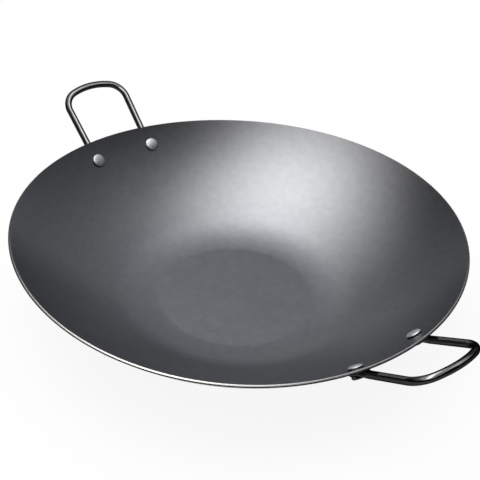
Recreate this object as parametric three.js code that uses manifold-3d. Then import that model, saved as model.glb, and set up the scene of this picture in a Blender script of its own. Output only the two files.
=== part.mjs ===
// A two-handled concave steel griddle: a dished sheet bowl with a flat floor, two bent rod handles, rivets.
// Millimetres, +Z up. The origin is on the ground under the bowl's middle. +X runs through the front handle.
import * as THREE from "three";
import { mergeVertices } from "three/addons/utils/BufferGeometryUtils.js";
import Module from "manifold-3d";

const wasm = await Module();
wasm.setup();

// Bowl
const RIM_DIAMETER = 360; // over the outer corner of the cut edge
const RIM_HEIGHT = 70; // from the ground to that corner
const SHEET = 2;
const FLOOR_DIAMETER = 116; // flat part of the floor
const KNUCKLE_RADIUS = 95; // inside bend between floor and wall
const WALL_RADIUS = 265; // inside bow of the wall, from knuckle to rim
const RIM_ROUNDING = 0.5; // on both corners of the cut edge

// Handles
const ROD_DIAMETER = 6;
const LEG_SPACING = 59.7; // between the centre lines of the two legs, where they meet the corners
const HANDLE_OVERHANG = 41.2; // in plan, from the rim to the middle of the crossbar's centre line
const CORNER_RADIUS = 15.9; // centre line
const CROSSBAR_RADIUS = 61; // centre line of the bowed crossbar
const FRONT_BEND = THREE.MathUtils.degToRad(12.7); // of the front loop, down from the wall's slope
const BACK_BEND = THREE.MathUtils.degToRad(3.8); // the same for the back loop

// Flattened ends of the rods
const TAB_WIDTH = 11.5;
const TAB_THICKNESS = 2.6;
const TAB_TAPER = 9; // length over which the flat end turns back into round rod

// Rivets
const FRONT_INSET = 13.9; // in plan, from the rim to the centres of the front rivets
const BACK_INSET = 12.4; // the same for the back rivets
const FRONT_SPACING = 59.1; // between the centres of the front rivets
const BACK_SPACING = 57.4; // the same for the back rivets
const SHANK_DIAMETER = 5;
const HEAD_DIAMETER = 11.5;
const HEAD_HEIGHT = 2.6;
const HEAD_EDGE = 0.6; // straight side of the head under its dome
const TAIL_DIAMETER = 9.5; // driven end under the tab
const TAIL_HEIGHT = 2.6;
const TAIL_FLAT = 6; // diameter of the tail's hammered end face

// Clearance between pieces that touch
const GAP = 0.3;

// Vertices nearer than this are one vertex
const WELD = 1e-4;

// Fineness of the facets
const BOWL_SIDES = 72;
const RIVET_SIDES = 16;
const ROD_SIDES = 16;
const KNUCKLE_STEPS = 6;
const WALL_STEPS = 6;
const ROUND_STEPS = 3;
const TIP_STEPS = 5;
const TAPER_STEPS = 4;
const CORNER_STEPS = 6;
const CROSSBAR_STEPS = 6;

// How far the middle of a flat facet at the rim lies inside the true circle
const FACET_SAG = (RIM_DIAMETER / 2) * (1 - Math.cos(Math.PI / BOWL_SIDES));

const UP = new THREE.Vector3(0, 0, 1);
const ACROSS = new THREE.Vector3(0, 1, 0);

// A closed solid from a three.js geometry, and back
function solidOf(geometry) {
  const bare = geometry.clone();
  bare.deleteAttribute("normal");
  bare.deleteAttribute("uv");
  const merged = mergeVertices(bare, WELD);
  return new wasm.Manifold(new wasm.Mesh({
    numProp: 3,
    vertProperties: new Float32Array(merged.attributes.position.array),
    triVerts: new Uint32Array(merged.index.array),
  }));
}

function geometryOf(solid) {
  const mesh = solid.getMesh();
  const geometry = new THREE.BufferGeometry();
  geometry.setAttribute("position", new THREE.BufferAttribute(mesh.vertProperties, 3));
  geometry.setIndex(new THREE.BufferAttribute(mesh.triVerts, 1));
  geometry.computeVertexNormals();
  return geometry;
}

// A profile of (radius, height) points turned about the Z axis
function turned(profile, sides) {
  return new THREE.LatheGeometry(profile, sides).rotateX(Math.PI / 2);
}

// Points of an arc about a centre, where an angle of 0 is straight down and turns towards the rim
function arcPoints(centre, radius, from, to, steps) {
  return Array.from({ length: steps + 1 }, (_, i) => {
    const angle = THREE.MathUtils.lerp(from, to, i / steps);
    return new THREE.Vector2(centre.x + radius * Math.sin(angle), centre.y - radius * Math.cos(angle));
  });
}

// The wall's profile: the knuckle is tangent to floor and wall, and the wall ends at the rim's outer corner
function wallShape() {
  const corner = new THREE.Vector2(RIM_DIAMETER / 2, RIM_HEIGHT);
  const knuckle = new THREE.Vector2(FLOOR_DIAMETER / 2, SHEET + KNUCKLE_RADIUS);
  const toCorner = corner.clone().sub(knuckle);
  const apart = toCorner.length();
  const knuckleReach = WALL_RADIUS - KNUCKLE_RADIUS;
  const cornerReach = WALL_RADIUS + SHEET;
  const along = (knuckleReach ** 2 - cornerReach ** 2 + apart ** 2) / (2 * apart);
  const aside = Math.sqrt(knuckleReach ** 2 - along ** 2);
  const ahead = toCorner.divideScalar(apart);
  const centre = new THREE.Vector2(
    knuckle.x + ahead.x * along - ahead.y * aside,
    knuckle.y + ahead.y * along + ahead.x * aside,
  );
  return {
    knuckle,
    centre,
    startSlope: Math.atan2(knuckle.x - centre.x, centre.y - knuckle.y),
    rimSlope: Math.atan2(corner.x - centre.x, centre.y - corner.y),
  };
}

const wall = wallShape();
const rimRounding = Math.min(RIM_ROUNDING, SHEET / 2);

// One face of the sheet from the floor to near the rim, at a depth into the sheet from its underside
function facePoints(depth) {
  const knuckle = arcPoints(wall.knuckle, KNUCKLE_RADIUS + SHEET - depth, 0, wall.startSlope, KNUCKLE_STEPS);
  const radius = WALL_RADIUS + SHEET - depth;
  const end = wall.rimSlope - rimRounding / WALL_RADIUS;
  const upper = arcPoints(wall.centre, radius, wall.startSlope, end, WALL_STEPS);
  return [...knuckle, ...upper.slice(1)];
}

// The cut edge of the rim, rounded at both corners, from the underside to the inside
function rimPoints() {
  const along = new THREE.Vector2(Math.cos(wall.rimSlope), Math.sin(wall.rimSlope));
  const inward = new THREE.Vector2(-along.y, along.x);
  const corner = new THREE.Vector2(RIM_DIAMETER / 2, RIM_HEIGHT);
  const points = [];
  for (const [depth, start] of [[rimRounding, 0], [SHEET - rimRounding, Math.PI / 2]]) {
    for (let i = 1; i <= ROUND_STEPS; i += 1) {
      const turn = start + (Math.PI / 2) * (i / (ROUND_STEPS + 1));
      points.push(corner.clone()
        .addScaledVector(along, rimRounding * (Math.sin(turn) - 1))
        .addScaledVector(inward, depth - rimRounding * Math.cos(turn)));
    }
  }
  return points;
}

// Where a rivet meets the underside of the wall, and the wall's directions there, for the leg on one side
function rivetSeat(inset, spacing, side) {
  const radius = RIM_DIAMETER / 2 - inset;
  const slope = Math.asin((radius - wall.centre.x) / (WALL_RADIUS + SHEET));
  const height = wall.centre.y - (WALL_RADIUS + SHEET) * Math.cos(slope);
  const turn = side * Math.asin(spacing / 2 / radius);
  const outward = new THREE.Vector3(
    Math.sin(slope) * Math.cos(turn),
    Math.sin(slope) * Math.sin(turn),
    -Math.cos(slope),
  );
  return {
    point: new THREE.Vector3(radius * Math.cos(turn), radius * Math.sin(turn), height),
    outward,
    alongLeg: new THREE.Vector3().crossVectors(outward, ACROSS).normalize(),
  };
}

function bowlGeometry(seats) {
  const underside = facePoints(0);
  const inside = facePoints(SHEET).reverse();
  const profile = [
    new THREE.Vector2(0, 0),
    ...underside,
    ...rimPoints(),
    ...inside,
    new THREE.Vector2(0, SHEET),
  ];
  let bowl = solidOf(turned(profile, BOWL_SIDES));
  for (const seat of seats) {
    bowl = bowl.subtract(solidOf(holeGeometry(seat)));
  }
  return geometryOf(bowl);
}

// A rivet hole, long enough to pass right through the sheet or the tab at a seat
function holeGeometry(seat) {
  const length = 4 * (SHEET + TAB_THICKNESS);
  const radius = SHANK_DIAMETER / 2 + GAP;
  const hole = new THREE.CylinderGeometry(radius, radius, length, RIVET_SIDES);
  hole.applyQuaternion(new THREE.Quaternion().setFromUnitVectors(ACROSS, seat.outward));
  return hole.translate(seat.point.x, seat.point.y, seat.point.z);
}

// One cross-section of the rod: flat above and below and round at the sides, or a circle if both halves match
function section(centre, ahead, below, halfWidth, halfThickness) {
  const sideways = new THREE.Vector3().crossVectors(ahead, below);
  const round = Math.min(halfWidth, halfThickness) / Math.cos(Math.PI / ROD_SIDES);
  const straight = halfWidth - Math.min(halfWidth, halfThickness);
  return Array.from({ length: ROD_SIDES }, (_, i) => {
    const turn = ((i + 0.5) / ROD_SIDES) * 2 * Math.PI;
    return centre.clone()
      .addScaledVector(sideways, round * Math.cos(turn) + Math.sign(Math.cos(turn)) * straight)
      .addScaledVector(below, round * Math.sin(turn));
  });
}

// A closed skin over a row of sections with a flat cap on each end
function loft(sections) {
  const positions = sections.flat().flatMap((point) => point.toArray());
  const triangles = [];
  for (let row = 0; row + 1 < sections.length; row += 1) {
    for (let i = 0; i < ROD_SIDES; i += 1) {
      const next = (i + 1) % ROD_SIDES;
      const [a, b] = [row * ROD_SIDES + i, row * ROD_SIDES + next];
      const [c, d] = [a + ROD_SIDES, b + ROD_SIDES];
      triangles.push(a, d, b, a, c, d);
    }
  }
  const last = (sections.length - 1) * ROD_SIDES;
  for (let i = 1; i + 1 < ROD_SIDES; i += 1) {
    triangles.push(0, i, i + 1, last, last + i + 1, last + i);
  }
  const geometry = new THREE.BufferGeometry();
  geometry.setAttribute("position", new THREE.Float32BufferAttribute(positions, 3));
  geometry.setIndex(triangles);
  return geometry;
}

// The directions of a loop bent down from the wall: ahead along its legs, and below, square to its plane
function loopDirections(seat, bend) {
  const rise = Math.asin(seat.alongLeg.z) - bend;
  return {
    ahead: new THREE.Vector3(Math.cos(rise), 0, Math.sin(rise)),
    below: new THREE.Vector3(Math.sin(rise), 0, -Math.cos(rise)),
  };
}

// One leg's stations from the tip of its tab to the start of the round rod, each hung below its top line
function tabStations(seat, loop) {
  const stations = [];
  const top = seat.point.clone().addScaledVector(seat.outward, GAP);
  const hang = (at, ahead, below, halfWidth, halfThickness) => stations.push({
    centre: at.clone().addScaledVector(below, halfThickness),
    ahead: ahead.clone(),
    below: below.clone(),
    halfWidth,
    halfThickness,
  });
  const tabRadius = TAB_WIDTH / 2;
  for (let i = 1; i <= TIP_STEPS; i += 1) {
    const turn = (Math.PI / 2) * (i / TIP_STEPS);
    const at = top.clone().addScaledVector(seat.alongLeg, -tabRadius * Math.cos(turn));
    const halfWidth = tabRadius * Math.sin(turn);
    hang(at, seat.alongLeg, seat.outward, halfWidth, Math.min(halfWidth, TAB_THICKNESS / 2));
  }
  const at = top.clone().addScaledVector(seat.alongLeg, tabRadius);
  hang(at, seat.alongLeg, seat.outward, tabRadius, TAB_THICKNESS / 2);
  for (let i = 1; i <= TAPER_STEPS; i += 1) {
    const share = i / TAPER_STEPS;
    const eased = THREE.MathUtils.smoothstep(share, 0, 1);
    const ahead = seat.alongLeg.clone().lerp(loop.ahead, share).normalize();
    const below = seat.outward.clone().lerp(loop.below, share);
    below.addScaledVector(ahead, -below.dot(ahead)).normalize();
    at.addScaledVector(ahead, TAB_TAPER / TAPER_STEPS);
    const halfWidth = THREE.MathUtils.lerp(tabRadius, ROD_DIAMETER / 2, eased);
    hang(at, ahead, below, halfWidth, THREE.MathUtils.lerp(TAB_THICKNESS / 2, ROD_DIAMETER / 2, eased));
  }
  return stations;
}

// The round loop in its own plane, from the end of one straight leg over the crossbar to the other leg
function loopStations(root, loop) {
  const halfSpacing = LEG_SPACING / 2;
  const apex = (RIM_DIAMETER / 2 + HANDLE_OVERHANG - root.x) / loop.ahead.x;
  const bowCentre = apex - CROSSBAR_RADIUS;
  const cornerAside = halfSpacing - CORNER_RADIUS;
  const cornerAhead = Math.sqrt((CROSSBAR_RADIUS - CORNER_RADIUS) ** 2 - cornerAside ** 2);
  const meeting = Math.atan2(cornerAside, cornerAhead);
  const stations = [];
  const add = (ahead, aside, radius, turn) => stations.push({
    centre: new THREE.Vector3(root.x, 0, root.z)
      .addScaledVector(loop.ahead, ahead + radius * Math.cos(turn))
      .addScaledVector(ACROSS, aside + radius * Math.sin(turn)),
    ahead: loop.ahead.clone().multiplyScalar(-Math.sin(turn)).addScaledVector(ACROSS, Math.cos(turn)),
    below: loop.below,
    halfWidth: ROD_DIAMETER / 2,
    halfThickness: ROD_DIAMETER / 2,
  });
  for (let i = 0; i <= CORNER_STEPS; i += 1) {
    const turn = THREE.MathUtils.lerp(-Math.PI / 2, -meeting, i / CORNER_STEPS);
    add(bowCentre + cornerAhead, -cornerAside, CORNER_RADIUS, turn);
  }
  for (let i = 1; i < CROSSBAR_STEPS; i += 1) {
    add(bowCentre, 0, CROSSBAR_RADIUS, THREE.MathUtils.lerp(-meeting, meeting, i / CROSSBAR_STEPS));
  }
  for (let i = 0; i <= CORNER_STEPS; i += 1) {
    const turn = THREE.MathUtils.lerp(meeting, Math.PI / 2, i / CORNER_STEPS);
    add(bowCentre + cornerAhead, cornerAside, CORNER_RADIUS, turn);
  }
  return stations;
}

function handleGeometry(seats, bend) {
  const loop = loopDirections(seats[0], bend);
  const [firstTab, secondTab] = seats.map((seat) => tabStations(seat, loop));
  const round = loopStations(firstTab[firstTab.length - 1].centre, loop);
  secondTab.reverse().forEach((station) => station.ahead.negate());
  const sections = [...firstTab, ...round, ...secondTab].map((station) => section(
    station.centre, station.ahead, station.below, station.halfWidth, station.halfThickness,
  ));
  let handle = solidOf(loft(sections));
  for (const seat of seats) {
    handle = handle.subtract(solidOf(holeGeometry(seat)));
  }
  return geometryOf(handle);
}

// A rivet standing on the inside of the wall: domed head up, shank through sheet and tab, driven tail below
function rivetGeometry() {
  const tailTop = -(SHEET + TAB_THICKNESS + 2 * GAP);
  const tailEdge = tailTop - TAIL_HEIGHT / 2;
  const headBase = GAP + FACET_SAG;
  const profile = [
    new THREE.Vector2(0, tailTop - TAIL_HEIGHT),
    new THREE.Vector2(TAIL_FLAT / 2, tailTop - TAIL_HEIGHT),
    new THREE.Vector2(TAIL_DIAMETER / 2, tailEdge),
    new THREE.Vector2(TAIL_DIAMETER / 2, tailTop),
    new THREE.Vector2(SHANK_DIAMETER / 2, tailTop),
    new THREE.Vector2(SHANK_DIAMETER / 2, headBase),
    new THREE.Vector2(HEAD_DIAMETER / 2, headBase),
  ];
  for (let i = 0; i <= ROUND_STEPS; i += 1) {
    const turn = (Math.PI / 2) * (i / (ROUND_STEPS + 1));
    profile.push(new THREE.Vector2(
      (HEAD_DIAMETER / 2) * Math.cos(turn),
      headBase + HEAD_EDGE + (HEAD_HEIGHT - HEAD_EDGE) * Math.sin(turn),
    ));
  }
  profile.push(new THREE.Vector2(0, headBase + HEAD_HEIGHT));
  return turned(profile, RIVET_SIDES);
}

const SHEET_STEEL = { color: 0x66676b, roughness: 0.45, metalness: 0.9 };
const BLACK_ROD = { color: 0x1d1d1f, roughness: 0.25, metalness: 0.8 };
const RIVET_STEEL = { color: 0x8f9092, roughness: 0.6, metalness: 0.8 };

function named(name, geometry, look) {
  const mesh = new THREE.Mesh(geometry, new THREE.MeshStandardMaterial(look));
  mesh.name = name;
  return mesh;
}

// The two handle sides: the front one on +X and the back one turned half round
const SIDES = [
  { place: "front", turn: 0, bend: FRONT_BEND, inset: FRONT_INSET, spacing: FRONT_SPACING },
  { place: "back", turn: Math.PI, bend: BACK_BEND, inset: BACK_INSET, spacing: BACK_SPACING },
];
const LEGS = [["left", -1], ["right", 1]];

function seatsOf({ inset, spacing }) {
  return LEGS.map(([, side]) => rivetSeat(inset, spacing, side));
}

const griddle = new THREE.Group();
const bowlSeats = SIDES.flatMap((handleSide) => seatsOf(handleSide).map((seat) => ({
  point: seat.point.clone().applyAxisAngle(UP, handleSide.turn),
  outward: seat.outward.clone().applyAxisAngle(UP, handleSide.turn),
})));
griddle.add(named("bowl", bowlGeometry(bowlSeats), SHEET_STEEL));

for (const handleSide of SIDES) {
  const { place, turn, bend } = handleSide;
  const seats = seatsOf(handleSide);
  const group = new THREE.Group();
  group.rotation.z = turn;
  group.add(named(`${place}_handle`, handleGeometry(seats, bend), BLACK_ROD));
  LEGS.forEach(([leg], i) => {
    const rivet = named(`${place}_rivet_${leg}`, rivetGeometry(), RIVET_STEEL);
    rivet.position.copy(seats[i].point).addScaledVector(seats[i].outward, -SHEET);
    rivet.quaternion.setFromUnitVectors(UP, seats[i].outward.clone().negate());
    group.add(rivet);
  });
  griddle.add(group);
}

export default griddle;
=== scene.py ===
"""A two-handled concave steel griddle on a white studio floor.

Metres, +Z up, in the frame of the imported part.
"""

import math

import bmesh
import bpy
from mathutils import Matrix, Vector, noise


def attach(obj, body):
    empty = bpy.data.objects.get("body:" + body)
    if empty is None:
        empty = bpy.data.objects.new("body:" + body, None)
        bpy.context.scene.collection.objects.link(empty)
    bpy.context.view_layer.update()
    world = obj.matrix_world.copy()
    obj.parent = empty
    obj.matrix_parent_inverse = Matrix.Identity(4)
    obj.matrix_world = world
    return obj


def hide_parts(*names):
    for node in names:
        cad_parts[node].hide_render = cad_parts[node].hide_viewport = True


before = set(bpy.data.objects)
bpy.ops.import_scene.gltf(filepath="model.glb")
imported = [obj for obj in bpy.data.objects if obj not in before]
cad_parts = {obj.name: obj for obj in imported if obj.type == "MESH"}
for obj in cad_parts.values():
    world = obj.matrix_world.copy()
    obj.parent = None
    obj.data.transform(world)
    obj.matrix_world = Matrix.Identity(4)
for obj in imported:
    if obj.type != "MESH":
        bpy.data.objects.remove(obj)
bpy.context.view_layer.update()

MM = 0.001

# Bowl
RIM_RADIUS = 180 * MM  # to the outer corner of the cut edge
RIM_HEIGHT = 70 * MM  # from the ground to that corner
SHEET = 2 * MM
FLOOR_RADIUS = 58 * MM
KNUCKLE_RADIUS = 95 * MM  # of the inside face, as the wall's is
WALL_RADIUS = 265 * MM
CREASE_RADIUS = 64 * MM  # where the pressed floor ends and the sheet rises at once
CREASE_LENGTH = 20 * MM  # how slowly the sheet comes back to the knuckle's true bend
FLAT_RING = 1 * MM  # a close ring of points that keeps the floor flat up to the crease
RIM_ROUNDING = 0.3 * MM
FRACTURE_DEPTH = 0.9 * MM  # lower, torn part of the cut edge, painted dark as shade; the rest is sheared bright
SADDLE_HEIGHT = 2.4 * MM  # slight warp of the sheet, nothing at the handles' middle
SADDLE_AZIMUTH = math.radians(53.7)

# Handles
ROD_RADIUS = 3 * MM
LEG_SPACING = 59.7 * MM  # where the legs meet the corners
HANDLE_OVERHANG = 41.2 * MM
CORNER_RADIUS = 15.9 * MM
CROSSBAR_RADIUS = 61 * MM
FRONT_BEND = math.radians(12.7)  # how far the loop hangs below the wall's slope
BACK_BEND = math.radians(3.8)
TAB_RADIUS = 5.75 * MM
TAB_THICKNESS = 2.6 * MM
TAB_TAPER = 9 * MM
TAB_GAP = 0.05 * MM  # between the sheet and the tab or head riveted to it

# Rivets
FRONT_INSET = 13.9 * MM
BACK_INSET = 12.4 * MM
FRONT_SPACING = 59.1 * MM
BACK_SPACING = 57.4 * MM
SHANK_RADIUS = 2.5 * MM
HEAD_RADIUS = 5.75 * MM
HEAD_HEIGHT = 2.6 * MM
HEAD_EDGE = 0.9 * MM  # side of the head, below its dome, painted black as shade
HEAD_UNDERCUT = 0.2 * MM  # how far the edge overhangs its seat
HEAD_SQUARENESS = 0.9  # under 1 the head is flatter on top than an ellipse
TAIL_RADIUS = 4.75 * MM
TAIL_HEIGHT = 2.6 * MM
TAIL_FLAT = 3 * MM
HOLE_LENGTH = 4 * (SHEET + TAB_THICKNESS)  # of the cutter, well through sheet and tab
HAMMER_DEPTH = 0.09 * MM  # dents on what was struck
HAMMER_PITCH = 2.2 * MM

# Fineness of the meshes
BOWL_SIDES = 288
ROD_SIDES = 32
RIVET_SIDES = 48
HOLE_SIDES = 32
KNUCKLE_STEPS = 24
WALL_STEPS = 44
ROUND_STEPS = 6
TIP_STEPS = 14
TAPER_STEPS = 20
CORNER_STEPS = 20
CROSSBAR_STEPS = 28
DOME_STEPS = 14
SMOOTH_ANGLE = math.radians(40)
ON_AXIS = 1e-9  # a radius under this is a single point

# Numbers of the materials on one piece
SHEET_ZONE, TORN_ZONE, SHEARED_ZONE = range(3)
# On a rivet, the rod's black below its steel dome is painted shade
STEEL_ZONE, PAINTED_SHADE_ZONE = range(2)

# Finishes: pitches of their noise, and pairs of values for its low and its high places
MOST_NOISE = (0.3, 0.7)
ALL_NOISE = (0.2, 0.8)
NOISE_DETAIL = 3
SHEET_PATCH = 60 * MM
SHEET_TONES = ((0.211, 0.217, 0.235), (0.222, 0.228, 0.243))
SHEET_ROUGHNESS = (0.27, 0.29)
MOTTLE_PITCH = 6 * MM
MOTTLE_LEVELS = (0.95, 1.05)
SPECK_PITCH = 3 * MM
SPECK_DETAIL = 1
SPECK_NOISE = (0.13, 0.17)  # only the lowest places are specks
SPECK_LEVELS = (0.9, 1.0)
TORN_GRAIN = 0.5 * MM
# The torn part's near-black tone is painted shade under the rim's corner
TORN_PAINTED_SHADE_TONES = (0.02, 0.05)
TORN_ROUGHNESS = 0.6
SHEARED_GRAIN = 0.8 * MM
SHEARED_TONES = (0.65, 0.85)
SHEARED_ROUGHNESS = 0.35
PAINTED_HIGHLIGHT_SIDE = math.radians(-41)  # the side of the rim nearest the camera, where the cut gets a painted highlight
HIGHLIGHT_REACH = (0.15, 0.6)  # shares of the way from the middle of the bowl to its highlighted side
PAINTED_HIGHLIGHT_LEVELS = (0.1, 1.0)
ROD_PATCH = 7 * MM
ROD_TONES = (0.034, 0.042)
ROD_ROUGHNESS = (0.15, 0.19)
ROD_EDGE_TINT = (0.3, 0.3, 0.3, 1)
RIVET_PATCH = 1.4 * MM
RIVET_TONES = ((0.46, 0.48, 0.5), (0.72, 0.74, 0.77))
RIVET_ROUGHNESS = (0.54, 0.42)
RIVET_RELIEF = 0.12 * MM

# Floor
FLOOR_SIZE = 40
FLOOR_DROP = 0.1 * MM  # under the base, so that no two faces lie in one plane
FLOOR_COLOUR = (0.97, 0.97, 0.97, 1)
FLOOR_ROUGHNESS = 0.9
SHADOW_SHARE = 0.1  # how much of the shadow the white floor shows
WHITE = (1, 1, 1, 1)

# Soft patches of sky, seen from above with the camera in front. The gap takes light from the key
KEY_PATCH = {
    "right": -0.186, "away": 0.077, "width": 0.7, "depth": 0.94,
    "turn": math.radians(-24.8), "level": 5.63,
}
GAP_PATCH = {
    "right": -0.093, "away": 0.296, "width": 0.58, "depth": 0.74,
    "turn": math.radians(-24.6), "level": -3.69,
}
FILL_PATCH = {
    "right": 0.033, "away": 0.39, "width": 1.0, "depth": 1.06,
    "turn": math.radians(21.6), "level": 1.11,
}
KEY_COLOUR = (1.02, 1.0, 0.96, 1)
FILL_COLOUR = (0.99, 1.0, 1.02, 1)
ANY_HEIGHT = 1000  # so far that a patch's height doesn't count

# Lamps, with the camera in front: place and size in metres, and radiance
FRONT_LAMP = {"right": 0, "away": -1.07, "height": 1.19, "width": 1.4, "depth": 0.7, "level": 0.6}
ROD_LAMPS = {
    "rod_strip": {"right": 0.08, "away": -0.13, "height": 0.6, "width": 0.2, "depth": 0.9, "level": 21},
    "rod_fill": {"right": 0.1, "away": -0.1, "height": 0.65, "width": 0.8, "depth": 1.3, "level": 3},
    "rod_side": {"right": 0.67, "away": 0.1, "height": 0.78, "width": 0.5, "depth": 0.5, "level": 6},
    "rod_back": {"right": -0.6, "away": 0.9, "height": 0.25, "width": 1.2, "depth": 0.5, "level": 2.5},
}

# Camera, fitted to the rim, the handles and the rivets
CAMERA_AZIMUTH = math.radians(48.52)
CAMERA_ELEVATION = math.radians(35.18)
CAMERA_ROLL = math.radians(4.1)
CAMERA_DISTANCE = 771.3 * MM
CAMERA_LENS = 73  # on a 36 mm sensor
AIM_HEIGHT = 72.4 * MM
AIM_RIGHT = -0.58 * MM
AIM_UP = -12.04 * MM

UP = Vector((0, 0, 1))
ACROSS = Vector((0, 1, 0))
RIM_CORNER = Vector((RIM_RADIUS, RIM_HEIGHT))


def lerp(a, b, share):
    return a + (b - a) * share


def smooth(share):
    return share * share * (3 - 2 * share)


def spread(start, end, steps):
    """Evenly spaced values from start to end, both included."""
    return [lerp(start, end, i / steps) for i in range(steps + 1)]


# Profile of the bowl

def arc(centre, radius, start, end, steps):
    """Points of an arc, where an angle of 0 is straight down and turns towards the rim."""
    return [centre + radius * Vector((math.sin(a), -math.cos(a))) for a in spread(start, end, steps)]


def wall_shape():
    """Centres of the knuckle and the wall, and the wall's slope at its start and at the rim."""
    knuckle = Vector((FLOOR_RADIUS, SHEET + KNUCKLE_RADIUS))
    apart = (RIM_CORNER - knuckle).length
    ahead = (RIM_CORNER - knuckle).normalized()
    # The wall's centre is where two circles meet: one about the knuckle's centre, one about the rim's corner
    knuckle_reach = WALL_RADIUS - KNUCKLE_RADIUS
    corner_reach = WALL_RADIUS + SHEET
    along = (knuckle_reach ** 2 - corner_reach ** 2 + apart ** 2) / (2 * apart)
    aside = math.sqrt(knuckle_reach ** 2 - along ** 2)
    centre = knuckle + along * ahead + aside * Vector((-ahead.y, ahead.x))
    start = math.atan2(knuckle.x - centre.x, centre.y - knuckle.y)
    end = math.atan2(RIM_CORNER.x - centre.x, centre.y - RIM_CORNER.y)
    return knuckle, centre, start, end


KNUCKLE_CENTRE, WALL_CENTRE, WALL_START, RIM_SLOPE = wall_shape()
RIM_ALONG = Vector((math.cos(RIM_SLOPE), math.sin(RIM_SLOPE)))
RIM_INWARD = Vector((-RIM_ALONG.y, RIM_ALONG.x))


def face_points(above):
    """One face of the sheet from the floor's edge to the rim, at a height above the underside."""
    start = math.asin((CREASE_RADIUS - FLOOR_RADIUS) / KNUCKLE_RADIUS)
    end = RIM_SLOPE - RIM_ROUNDING / WALL_RADIUS
    close_to_end = end - RIM_ROUNDING / WALL_RADIUS
    knuckle = arc(KNUCKLE_CENTRE, KNUCKLE_RADIUS + SHEET - above, start, WALL_START, KNUCKLE_STEPS)
    wall = arc(WALL_CENTRE, WALL_RADIUS + SHEET - above, WALL_START, close_to_end, WALL_STEPS)
    rim = arc(WALL_CENTRE, WALL_RADIUS + SHEET - above, close_to_end, end, 1)
    crease = knuckle[0].x
    drop = knuckle[0].y - above
    floor_edge = Vector((crease - FLAT_RING, above))
    return [floor_edge] + [
        point - Vector((0, drop * math.exp((crease - point.x) / CREASE_LENGTH)))
        for point in knuckle + wall[1:] + rim[1:]
    ]


def rim_point(along, above):
    """A point of the cut edge, a way along the wall from the corner and a height above the underside."""
    return RIM_CORNER + RIM_ALONG * along + RIM_INWARD * above


def rim_points(above, start):
    """A rounded corner of the cut edge about a point at a height above the underside."""
    return [
        rim_point(RIM_ROUNDING * (math.sin(a) - 1), above - RIM_ROUNDING * math.cos(a))
        for a in spread(start, start + math.pi / 2, ROUND_STEPS)[1:]
    ]


def bowl_profile():
    """The bowl's profile from axis to axis, and for each of its segments whether it is sheet or cut edge."""
    underside = [Vector((0, 0))] + face_points(0)
    torn = rim_points(RIM_ROUNDING, 0) + [rim_point(0, FRACTURE_DEPTH)]
    sheared = [rim_point(0, SHEET - RIM_ROUNDING)] + rim_points(SHEET - RIM_ROUNDING, math.pi / 2)
    inside = face_points(SHEET)[::-1][1:] + [Vector((0, SHEET))]
    zones = [SHEET_ZONE] * (len(underside) - 1) + [TORN_ZONE] * len(torn)
    zones += [SHEARED_ZONE] * len(sheared) + [SHEET_ZONE] * len(inside)
    return underside + torn + sheared + inside, zones


# Meshes

def turned(profile, sides, zones):
    """A bmesh of (radius, height) points turned about Z, with a material number for each profile segment."""
    mesh = bmesh.new()
    turns = [2 * math.pi * i / sides for i in range(sides)]
    rings = []
    for radius, height in profile:
        if radius < ON_AXIS:
            rings.append([mesh.verts.new((0, 0, height))])
            continue
        rings.append([mesh.verts.new((radius * math.cos(t), radius * math.sin(t), height)) for t in turns])
    for low, high, zone in zip(rings, rings[1:], zones):
        for i in range(sides):
            j = (i + 1) % sides
            corners = [low[i % len(low)], low[j % len(low)], high[j % len(high)], high[i % len(high)]]
            face = mesh.faces.new(dict.fromkeys(corners))
            face.material_index = zone
    return mesh


def lofted(rings):
    """A bmesh over a row of rings of points, closed by a face at each end."""
    mesh = bmesh.new()
    rows = [[mesh.verts.new(point) for point in ring] for ring in rings]
    for low, high in zip(rows, rows[1:]):
        for i in range(len(low)):
            j = (i + 1) % len(low)
            mesh.faces.new((low[i], high[i], high[j], low[j]))
    mesh.faces.new(rows[0])
    mesh.faces.new(rows[-1][::-1])
    return mesh


def dented(mesh, struck):
    """Moves a bmesh's vertices in and out by smooth noise, by the share that struck gives for each place."""
    mesh.normal_update()
    moves = {
        vertex: vertex.normal * HAMMER_DEPTH * noise.noise(vertex.co / HAMMER_PITCH) * struck(vertex.co)
        for vertex in mesh.verts
    }
    for vertex, move in moves.items():
        vertex.co += move


def object_of(name, mesh, *materials):
    """A smooth-shaded object of a bmesh, with its faces turned outward."""
    bmesh.ops.recalc_face_normals(mesh, faces=mesh.faces)
    data = bpy.data.meshes.new(name)
    mesh.to_mesh(data)
    mesh.free()
    made = bpy.data.objects.new(name, data)
    bpy.context.scene.collection.objects.link(made)
    for material in materials:
        data.materials.append(material)
    data.shade_smooth()
    data.set_sharp_from_angle(angle=SMOOTH_ANGLE)
    return made


def standing(point, direction):
    """The transform that takes the origin to a point and +Z to a direction."""
    return Matrix.Translation(point) @ UP.rotation_difference(direction).to_matrix().to_4x4()


def drilled(piece, seats):
    """Cuts the rivet holes at some seats out of a piece."""
    cutter_mesh = bmesh.new()
    for seat in seats:
        bmesh.ops.create_cone(
            cutter_mesh, cap_ends=True, segments=HOLE_SIDES, radius1=SHANK_RADIUS, radius2=SHANK_RADIUS,
            depth=HOLE_LENGTH, matrix=standing(seat["point"], seat["outward"]),
        )
    cutter = object_of("rivet_holes", cutter_mesh)
    modifier = piece.modifiers.new("holes", "BOOLEAN")
    modifier.object = cutter
    modifier.solver = "EXACT"
    evaluated = piece.evaluated_get(bpy.context.evaluated_depsgraph_get())
    cut = bpy.data.meshes.new_from_object(evaluated)
    piece.modifiers.clear()
    piece.data = cut
    cut.set_sharp_from_angle(angle=SMOOTH_ANGLE)
    bpy.data.objects.remove(cutter)
    return piece


# Pieces

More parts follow.
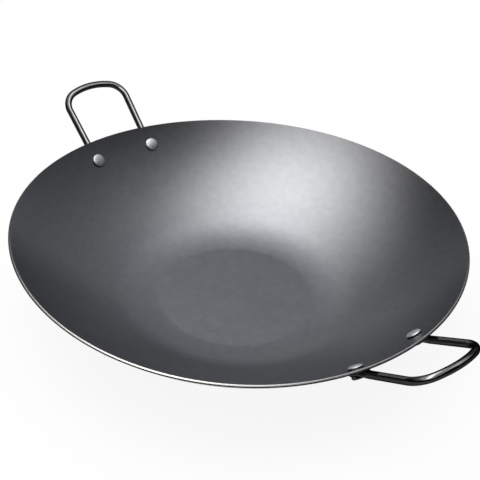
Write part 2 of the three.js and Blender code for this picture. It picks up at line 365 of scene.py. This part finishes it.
def rivet_seat(inset, spacing, side):
    """Where a rivet meets the wall's underside on one side of +X, and the wall's directions there."""
    radius = RIM_RADIUS - inset
    slope = math.asin((radius - WALL_CENTRE.x) / (WALL_RADIUS + SHEET))
    height = WALL_CENTRE.y - (WALL_RADIUS + SHEET) * math.cos(slope)
    turn = side * math.asin(spacing / 2 / radius)
    outward = Vector((math.sin(slope) * math.cos(turn), math.sin(slope) * math.sin(turn), -math.cos(slope)))
    return {
        "point": Vector((radius * math.cos(turn), radius * math.sin(turn), height)),
        "outward": outward,
        "along_leg": outward.cross(ACROSS).normalized(),
    }


def turned_seat(seat, turn):
    rotation = Matrix.Rotation(turn, 3, "Z")
    return {name: rotation @ vector for name, vector in seat.items()}


def section(centre, ahead, below, half_width, half_thickness):
    """A ring of the rod: flat above and below and round at the sides, or a circle if both halves match."""
    sideways = ahead.cross(below)
    round_part = min(half_width, half_thickness)
    straight = half_width - round_part
    ring = []
    for i in range(ROD_SIDES):
        turn = 2 * math.pi * (i + 0.5) / ROD_SIDES
        aside = round_part * math.cos(turn) + math.copysign(straight, math.cos(turn))
        ring.append(centre + sideways * aside + below * round_part * math.sin(turn))
    return ring


def tab_stations(seat, loop_ahead, loop_below):
    """One leg's stations from the tip of its tab to the start of the round rod."""
    stations = []
    at = seat["point"] + seat["outward"] * TAB_GAP
    half_tab = TAB_THICKNESS / 2
    for turn in spread(0, math.pi / 2, TIP_STEPS)[1:]:
        half_width = TAB_RADIUS * math.sin(turn)
        half_thickness = min(half_width, half_tab)
        centre = at - seat["along_leg"] * TAB_RADIUS * math.cos(turn) + seat["outward"] * half_tab
        stations.append((centre, seat["along_leg"], seat["outward"], half_width, half_thickness))
    at = at + seat["along_leg"] * TAB_RADIUS
    for share in spread(0, 1, TAPER_STEPS):
        eased = smooth(share)
        ahead = lerp(seat["along_leg"], loop_ahead, share).normalized()
        below = lerp(seat["outward"], loop_below, share)
        below = (below - ahead * below.dot(ahead)).normalized()
        half_thickness = lerp(half_tab, ROD_RADIUS, eased)
        centre = at + below * half_thickness
        stations.append((centre, ahead, below, lerp(TAB_RADIUS, ROD_RADIUS, eased), half_thickness))
        at = at + ahead * TAB_TAPER / TAPER_STEPS
    return stations


def loop_stations(root, ahead, below):
    """The round loop's stations in its own plane: one corner, the bowed crossbar and the other corner."""
    apex = (RIM_RADIUS + HANDLE_OVERHANG - root.x) / ahead.x
    bow_centre = apex - CROSSBAR_RADIUS
    corner_aside = LEG_SPACING / 2 - CORNER_RADIUS
    corner_ahead = math.sqrt((CROSSBAR_RADIUS - CORNER_RADIUS) ** 2 - corner_aside ** 2)
    meeting = math.atan2(corner_aside, corner_ahead)
    middle = Vector((root.x, 0, root.z))
    stretches = [
        (bow_centre + corner_ahead, -corner_aside, CORNER_RADIUS, -math.pi / 2, -meeting, CORNER_STEPS),
        (bow_centre, 0, CROSSBAR_RADIUS, -meeting, meeting, CROSSBAR_STEPS),
        (bow_centre + corner_ahead, corner_aside, CORNER_RADIUS, meeting, math.pi / 2, CORNER_STEPS),
    ]
    stations = []
    for forth, aside, radius, start, end, steps in stretches:
        for turn in spread(start, end, steps)[:-1]:
            out = ahead * math.cos(turn) + ACROSS * math.sin(turn)
            way = ACROSS * math.cos(turn) - ahead * math.sin(turn)
            centre = middle + ahead * forth + ACROSS * aside + out * radius
            stations.append((centre, way, below, ROD_RADIUS, ROD_RADIUS))
    return stations


def handle_mesh(seats, bend):
    """One rod bent into a loop, with both ends beaten flat, on the +X side."""
    rise = math.asin(seats[0]["along_leg"].z) - bend
    ahead = Vector((math.cos(rise), 0, math.sin(rise)))
    below = Vector((math.sin(rise), 0, -math.cos(rise)))
    first, second = [tab_stations(seat, ahead, below) for seat in seats]
    returning = [(centre, -way, down, *halves) for centre, way, down, *halves in reversed(second)]
    loop = loop_stations(first[-1][0], ahead, below)
    mesh = lofted([section(*station) for station in first + loop + returning])
    tab_end = seats[0]["point"].x + 2 * TAB_RADIUS

    def struck(place):
        return min(1, max(0, (tab_end - place.x) / TAB_TAPER))

    dented(mesh, struck)
    return mesh


def rivet_mesh():
    """A rivet standing on the wall's inside: a bare steel dome, and from its edge down to the tail the rod's
    black as painted shade.
    """
    tail_top = -(SHEET + TAB_THICKNESS + 2 * TAB_GAP)
    quarter = spread(0, math.pi / 2, DOME_STEPS)
    profile = [(0, tail_top - TAIL_HEIGHT), (TAIL_FLAT, tail_top - TAIL_HEIGHT)]
    for turn in quarter[1:]:
        radius = lerp(TAIL_FLAT, TAIL_RADIUS, math.sin(turn))
        profile.append((radius, tail_top - TAIL_HEIGHT / 2 * (1 + math.cos(turn))))
    profile += [
        (TAIL_RADIUS, tail_top),
        (SHANK_RADIUS, tail_top),
        (SHANK_RADIUS, TAB_GAP),
        (HEAD_RADIUS - HEAD_UNDERCUT, TAB_GAP),
    ]
    painted_shade_points = len(profile)
    for turn in quarter:
        rise = (HEAD_HEIGHT - HEAD_EDGE) * math.sin(turn) ** HEAD_SQUARENESS
        profile.append((HEAD_RADIUS * math.cos(turn) ** HEAD_SQUARENESS, TAB_GAP + HEAD_EDGE + rise))
    zones = [PAINTED_SHADE_ZONE] * painted_shade_points + [STEEL_ZONE] * DOME_STEPS
    return turned(profile, RIVET_SIDES, zones)


def saddle(place):
    """How far the warp lifts a place: the rim rises at the ends of one diameter and dips across it."""
    share = max(0, min(1, (place.xy.length - FLOOR_RADIUS) / (RIM_RADIUS - FLOOR_RADIUS)))
    wave = math.cos(2 * (math.atan2(place.y, place.x) - SADDLE_AZIMUTH)) - math.cos(2 * SADDLE_AZIMUTH)
    return SADDLE_HEIGHT * wave * share ** 2


def fitted(piece, node):
    """Warps a finished piece with the sheet and puts it in the place of its CAD node."""
    for vertex in piece.data.vertices:
        vertex.co.z += saddle(vertex.co)
    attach(piece, "root")
    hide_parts(node)


def make_bowl(seats, sheet, torn, sheared):
    profile, zones = bowl_profile()
    bowl = object_of("finished_bowl", turned(profile, BOWL_SIDES, zones), sheet, torn, sheared)
    fitted(drilled(bowl, seats), "bowl")


def make_handle(place, turn, bend, seats, rod):
    mesh = handle_mesh(seats, bend)
    bmesh.ops.rotate(mesh, verts=mesh.verts, matrix=Matrix.Rotation(turn, 3, "Z"))
    handle = object_of(f"finished_{place}_handle", mesh, rod)
    fitted(drilled(handle, [turned_seat(seat, turn) for seat in seats]), f"{place}_handle")
    return handle


def make_rivet(place, leg, seat, steel, rod):
    mesh = rivet_mesh()
    inward = -seat["outward"]
    mesh.transform(standing(seat["point"] + inward * SHEET, inward))
    dented(mesh, lambda anywhere: 1)
    # The rod's black on the head's edge, shank and tail is painted shade
    fitted(object_of(f"finished_{place}_rivet_{leg}", mesh, steel, rod), f"{place}_rivet_{leg}")


# Materials

def new_material(name, constants):
    """A material with a Principled shader, whose sockets named in constants are set."""
    material = bpy.data.materials.new(name)
    material.use_nodes = True
    shader = material.node_tree.nodes["Principled BSDF"]
    for socket, value in constants.items():
        shader.inputs[socket].default_value = value
    return material, material.node_tree, shader


def add(tree, kind, inputs=None, **settings):
    """A new node with its settings, and its inputs linked or set."""
    made = tree.nodes.new(kind)
    for name, value in settings.items():
        setattr(made, name, value)
    for name, value in (inputs or {}).items():
        if isinstance(value, bpy.types.NodeSocket):
            tree.links.new(value, made.inputs[name])
        else:
            made.inputs[name].default_value = value
    return made


def calculated(tree, operation, one, other):
    """The outcome of an operation on two numbers."""
    return add(tree, "ShaderNodeMath", {0: one, 1: other}, operation=operation).outputs[0]


def multiplied(tree, one, other):
    """The product of two colours."""
    return add(tree, "ShaderNodeVectorMath", {0: one, 1: other}, operation="MULTIPLY").outputs[0]


def object_place(tree):
    return add(tree, "ShaderNodeTexCoord").outputs["Object"]


def blotches(tree, pitch, detail=NOISE_DETAIL):
    """Smooth noise of a pitch in metres."""
    inputs = {"Vector": object_place(tree), "Scale": 1 / pitch, "Detail": detail}
    return add(tree, "ShaderNodeTexNoise", inputs).outputs["Fac"]


def ramp(tree, factor, places, tones):
    """A tone that goes from the first to the second as a factor passes between two places."""
    made = add(tree, "ShaderNodeValToRGB", {"Fac": factor})
    for element, place, tone in zip(made.color_ramp.elements, places, tones):
        element.position = place
        element.color = (*tone, 1) if isinstance(tone, tuple) else (tone, tone, tone, 1)
    return made.outputs["Color"]


def bump(tree, shader, height, depth):
    """Small relief of a depth in metres."""
    made = add(tree, "ShaderNodeBump", {"Height": height, "Distance": depth})
    tree.links.new(made.outputs["Normal"], shader.inputs["Normal"])


def sheet_steel():
    """Dark satin steel with wide faint patches, fine mottling and a few specks."""
    material, tree, shader = new_material("sheet_steel", {"Metallic": 1})
    mottling = blotches(tree, MOTTLE_PITCH)
    specks = blotches(tree, SPECK_PITCH, SPECK_DETAIL)
    tone = ramp(tree, blotches(tree, SHEET_PATCH), MOST_NOISE, SHEET_TONES)
    tone = multiplied(tree, tone, ramp(tree, mottling, MOST_NOISE, MOTTLE_LEVELS))
    tone = multiplied(tree, tone, ramp(tree, specks, SPECK_NOISE, SPECK_LEVELS))
    tree.links.new(tone, shader.inputs["Base Color"])
    tree.links.new(ramp(tree, mottling, ALL_NOISE, SHEET_ROUGHNESS), shader.inputs["Roughness"])
    return material


def shaded_torn_edge():
    """The rough torn part of the cut, painted near black as shade."""
    material, tree, shader = new_material("shaded_torn_edge", {"Metallic": 1, "Roughness": TORN_ROUGHNESS})
    grain = blotches(tree, TORN_GRAIN)
    tree.links.new(ramp(tree, grain, ALL_NOISE, TORN_PAINTED_SHADE_TONES), shader.inputs["Base Color"])
    return material


def sheared_edge_painted_highlight():
    """The bright sheared part of the cut, with a painted highlight on the side nearest the camera."""
    material, tree, shader = new_material("sheared_edge_painted_highlight", {"Metallic": 1, "Roughness": SHEARED_ROUGHNESS})
    highlight_side = Vector((math.cos(PAINTED_HIGHLIGHT_SIDE), math.sin(PAINTED_HIGHLIGHT_SIDE), 0))
    sides = {0: object_place(tree), 1: highlight_side}
    towards = add(tree, "ShaderNodeVectorMath", sides, operation="DOT_PRODUCT")
    share = add(tree, "ShaderNodeMapRange", {"Value": towards.outputs["Value"], "From Max": RIM_RADIUS})
    # Brighter towards the side nearest the camera: a painted highlight
    painted_highlight = ramp(tree, share.outputs[0], HIGHLIGHT_REACH, PAINTED_HIGHLIGHT_LEVELS)
    grain = ramp(tree, blotches(tree, SHEARED_GRAIN), ALL_NOISE, SHEARED_TONES)
    tree.links.new(multiplied(tree, grain, painted_highlight), shader.inputs["Base Color"])
    return material


def black_rod():
    """Polished blackened steel."""
    material, tree, shader = new_material("black_rod", {"Metallic": 1, "Specular Tint": ROD_EDGE_TINT})
    patches = blotches(tree, ROD_PATCH)
    tree.links.new(ramp(tree, patches, MOST_NOISE, ROD_TONES), shader.inputs["Base Color"])
    tree.links.new(ramp(tree, patches, MOST_NOISE, ROD_ROUGHNESS), shader.inputs["Roughness"])
    return material


def rivet_steel():
    """Matte grey steel with a hammered grain."""
    material, tree, shader = new_material("rivet_steel", {"Metallic": 1})
    patches = blotches(tree, RIVET_PATCH)
    tree.links.new(ramp(tree, patches, MOST_NOISE, RIVET_TONES), shader.inputs["Base Color"])
    tree.links.new(ramp(tree, patches, MOST_NOISE, RIVET_ROUGHNESS), shader.inputs["Roughness"])
    bump(tree, shader, patches, RIVET_RELIEF)
    return material


# Studio

def make_floor():
    """A white floor. Where it is seen, itself or mirrored, it shows only a share of its shading."""
    mesh = bmesh.new()
    lowered = Matrix.Translation(-UP * FLOOR_DROP)
    bmesh.ops.create_grid(mesh, x_segments=1, y_segments=1, size=FLOOR_SIZE / 2, matrix=lowered)
    finish = {"Roughness": FLOOR_ROUGHNESS, "Base Color": FLOOR_COLOUR}
    material, tree, shader = new_material("white_floor", finish)
    path = add(tree, "ShaderNodeLightPath").outputs
    seen = calculated(tree, "MAXIMUM", path["Is Camera Ray"], path["Is Glossy Ray"])
    seen = calculated(tree, "MAXIMUM", seen, path["Is Transmission Ray"])
    share = calculated(tree, "MULTIPLY", seen, 1 - SHADOW_SHARE)
    white = add(tree, "ShaderNodeEmission", {"Color": WHITE, "Strength": 1})
    mixed = add(tree, "ShaderNodeMixShader", {0: share, 1: shader.outputs[0], 2: white.outputs[0]})
    tree.links.new(mixed.outputs[0], tree.nodes["Material Output"].inputs["Surface"])
    floor = object_of("white_floor", mesh, material)


def camera_frame(right, away, height):
    """A place or direction given along the camera's right, away from the camera and up."""
    return Matrix.Rotation(CAMERA_AZIMUTH, 3, "Z") @ Vector((right, away, height))


def sky_patch(tree, right, away, width, depth, turn, level):
    """A round patch of sky that is at its level in the middle and fades smoothly to nothing."""
    place = add(tree, "ShaderNodeMapping", {
        "Vector": add(tree, "ShaderNodeTexCoord").outputs["Generated"],
        "Location": camera_frame(right, away, 0),
        "Rotation": (0, 0, CAMERA_AZIMUTH + turn),
        "Scale": (width, depth, ANY_HEIGHT),
    }, vector_type="TEXTURE")
    fading = add(tree, "ShaderNodeTexGradient", {"Vector": place.outputs[0]}, gradient_type="SPHERICAL")
    inputs = {"Value": fading.outputs["Fac"], "To Max": level}
    return add(tree, "ShaderNodeMapRange", inputs, interpolation_type="SMOOTHSTEP").outputs[0]


def make_world():
    """A dark studio with two patches of light overhead, the key one with a gap in it."""
    world = bpy.data.worlds.new("studio")
    bpy.context.scene.world = world
    world.use_nodes = True
    tree = world.node_tree
    key, gap, fill = [sky_patch(tree, **patch) for patch in (KEY_PATCH, GAP_PATCH, FILL_PATCH)]
    broken_key = calculated(tree, "ADD", key, gap)
    key_light = add(tree, "ShaderNodeBackground", {"Color": KEY_COLOUR, "Strength": broken_key})
    fill_light = add(tree, "ShaderNodeBackground", {"Color": FILL_COLOUR, "Strength": fill})
    both = add(tree, "ShaderNodeAddShader", {0: key_light.outputs[0], 1: fill_light.outputs[0]})
    tree.links.new(both.outputs[0], tree.nodes["World Output"].inputs["Surface"])


def softbox(name, right, away, height, width, depth, level):
    """A rectangular lamp of a given radiance, aimed at the middle of the floor, its width to the right."""
    lamp = bpy.data.lights.new(name, "AREA")
    lamp.shape = "RECTANGLE"
    lamp.size = width
    lamp.size_y = depth
    lamp.energy = level * width * depth * math.pi
    place = camera_frame(right, away, height)
    back = place.normalized()
    across = camera_frame(1, 0, 0)
    across = (across - back * across.dot(back)).normalized()
    made = bpy.data.objects.new(name, lamp)
    rotation = Matrix((across, back.cross(across), back)).transposed().to_4x4()
    made.matrix_world = Matrix.Translation(place) @ rotation
    bpy.context.scene.collection.objects.link(made)
    return made


def make_lamps(handles):
    """One lamp for everything, and some that only the polished handles mirror."""
    softbox("front", **FRONT_LAMP)
    lit = bpy.data.collections.new("lit_by_rod_lamps")
    for handle in handles:
        lit.objects.link(handle)
    for name, lamp in ROD_LAMPS.items():
        softbox(name, **lamp).light_linking.receiver_collection = lit


def make_camera():
    back = Vector((
        math.sin(CAMERA_AZIMUTH) * math.cos(CAMERA_ELEVATION),
        -math.cos(CAMERA_AZIMUTH) * math.cos(CAMERA_ELEVATION),
        math.sin(CAMERA_ELEVATION),
    ))
    level_right = Vector((math.cos(CAMERA_AZIMUTH), math.sin(CAMERA_AZIMUTH), 0))
    level_up = back.cross(level_right)
    right = level_right * math.cos(CAMERA_ROLL) + level_up * math.sin(CAMERA_ROLL)
    up = level_up * math.cos(CAMERA_ROLL) - level_right * math.sin(CAMERA_ROLL)
    lens = bpy.data.cameras.new("camera")
    lens.lens = CAMERA_LENS
    camera = bpy.data.objects.new("camera", lens)
    rotation = Matrix((right, up, back)).transposed().to_4x4()
    place = UP * AIM_HEIGHT + back * CAMERA_DISTANCE + right * AIM_RIGHT + up * AIM_UP
    camera.matrix_world = Matrix.Translation(place) @ rotation
    bpy.context.scene.collection.objects.link(camera)
    bpy.context.scene.camera = camera


def main():
    sides = (
        ("front", 0, FRONT_BEND, FRONT_INSET, FRONT_SPACING),
        ("back", math.pi, BACK_BEND, BACK_INSET, BACK_SPACING),
    )
    rod = black_rod()
    steel = rivet_steel()
    all_seats = []
    handles = []
    for place, turn, bend, inset, spacing in sides:
        seats = [rivet_seat(inset, spacing, side) for side in (-1, 1)]
        handles.append(make_handle(place, turn, bend, seats, rod))
        placed = [turned_seat(seat, turn) for seat in seats]
        for leg, seat in zip(("left", "right"), placed):
            make_rivet(place, leg, seat, steel, rod)
        all_seats += placed
    make_bowl(all_seats, sheet_steel(), shaded_torn_edge(), sheared_edge_painted_highlight())
    make_floor()
    make_world()
    make_lamps(handles)
    make_camera()
    bpy.context.scene.view_settings.view_transform = "Standard"


main()
